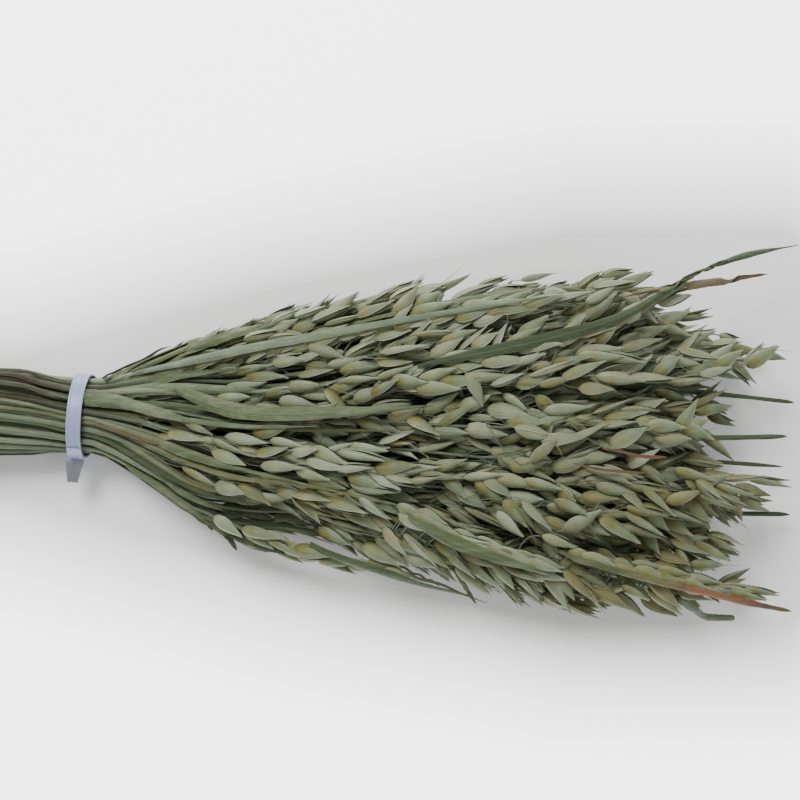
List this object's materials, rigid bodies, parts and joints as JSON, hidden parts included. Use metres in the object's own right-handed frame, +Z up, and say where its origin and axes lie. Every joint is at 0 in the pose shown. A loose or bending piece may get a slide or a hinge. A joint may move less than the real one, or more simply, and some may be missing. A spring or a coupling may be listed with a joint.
{
  "type": "bundle of dried oats",
  "caption": "Sheaf of dried green oats lying on its side, its culms held near the cut ends by a flat white plastic band and its heads fanned out.",
  "frame": {"origin": "middle of the flat underside of the plastic band, on the surface the sheaf lies on", "axes": "+X along the stalks from the cut ends to the heads, +Y across the sheaf, +Z up from the surface it lies on"},
  "size_m": [0.599, 0.2056, 0.0897],
  "materials": {
    "stalk": "matte",
    "leaf": "matte",
    "band": "satin"
  },
  "bodies": {
    "root": {"oat_stalk_01": "stalk", "oat_stalk_02": "stalk", "oat_stalk_03": "stalk", "oat_stalk_04": "stalk", "oat_stalk_05": "stalk", "oat_stalk_06": "stalk", "oat_stalk_07": "stalk", "oat_stalk_08": "stalk", "oat_stalk_09": "stalk", "oat_stalk_10": "stalk", "oat_stalk_11": "stalk", "oat_stalk_12": "stalk", "oat_stalk_13": "stalk", "oat_stalk_14": "stalk", "oat_stalk_15": "stalk", "oat_stalk_16": "stalk", "oat_stalk_17": "stalk", "oat_stalk_18": "stalk", "oat_stalk_19": "stalk", "oat_stalk_20": "stalk", "oat_stalk_21": "stalk", "oat_stalk_22": "stalk", "oat_stalk_23": "stalk", "oat_stalk_24": "stalk", "oat_stalk_25": "stalk", "oat_stalk_26": "stalk", "oat_stalk_27": "stalk", "oat_stalk_28": "stalk", "oat_stalk_29": "stalk", "oat_stalk_30": "stalk", "oat_stalk_31": "stalk", "oat_stalk_32": "stalk", "oat_stalk_33": "stalk", "oat_stalk_34": "stalk", "oat_stalk_35": "stalk", "oat_stalk_36": "stalk", "oat_stalk_37": "stalk", "oat_stalk_38": "stalk", "leaf_pale_long": "leaf", "leaf_twisted_top": "leaf", "leaf_wide_middle": "leaf", "leaf_green_lower": "leaf", "leaf_orange_tip": "leaf", "leaf_dark_edge": "leaf", "leaf_brown_top": "leaf", "leaf_near_band": "leaf", "leaf_olive_lower": "leaf", "leaf_bent_corner": "leaf", "leaf_hump_upper": "leaf", "leaf_side_a": "leaf", "leaf_side_b": "leaf", "leaf_back_c": "leaf", "leaf_end_a": "leaf", "leaf_end_b": "leaf", "leaf_end_c": "leaf", "leaf_end_d": "leaf", "tie_band": "band"}
  },
  "joints": []
}
